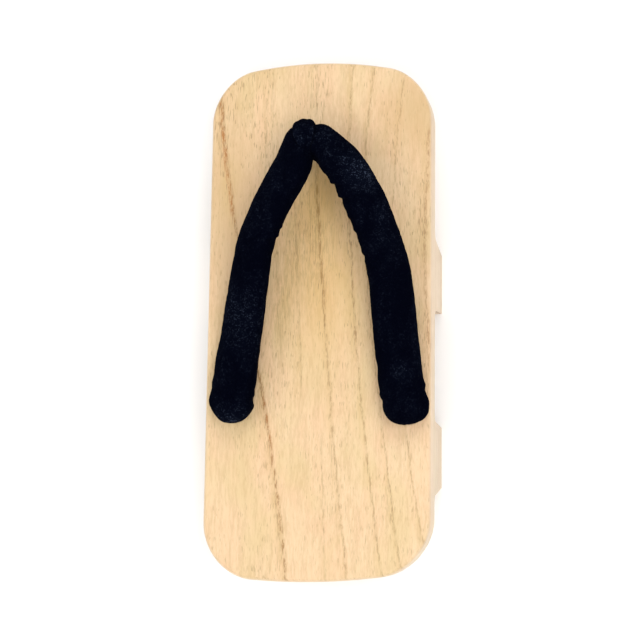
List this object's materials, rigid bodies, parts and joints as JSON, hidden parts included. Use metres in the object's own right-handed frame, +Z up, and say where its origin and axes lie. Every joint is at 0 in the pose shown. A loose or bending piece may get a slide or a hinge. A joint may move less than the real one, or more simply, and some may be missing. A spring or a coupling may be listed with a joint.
{
  "type": "geta sandal",
  "caption": "Left Japanese geta: a pale paulownia board on two carved teeth, a padded black velvet V-shaped strap with a toe loop, and cords knotted under the board.",
  "frame": {"origin": "bottom centre of the bounding box: on the floor under the middle of the board", "axes": "+Y from the heel to the toe, +X to the wearer's right, which is the inner side of this left geta, +Z up"},
  "size_m": [0.1072, 0.2452, 0.0796],
  "materials": {
    "paulownia_wood": "satin",
    "black_velvet": "matte",
    "black_cotton_cord": "matte"
  },
  "bodies": {
    "root": {"dai_board": "paulownia_wood", "hanao_strap": "black_velvet", "maetsubo_toe_loop": "black_velvet", "rear_tie_cord": "black_cotton_cord", "front_knot_cord": "black_cotton_cord"}
  },
  "joints": []
}
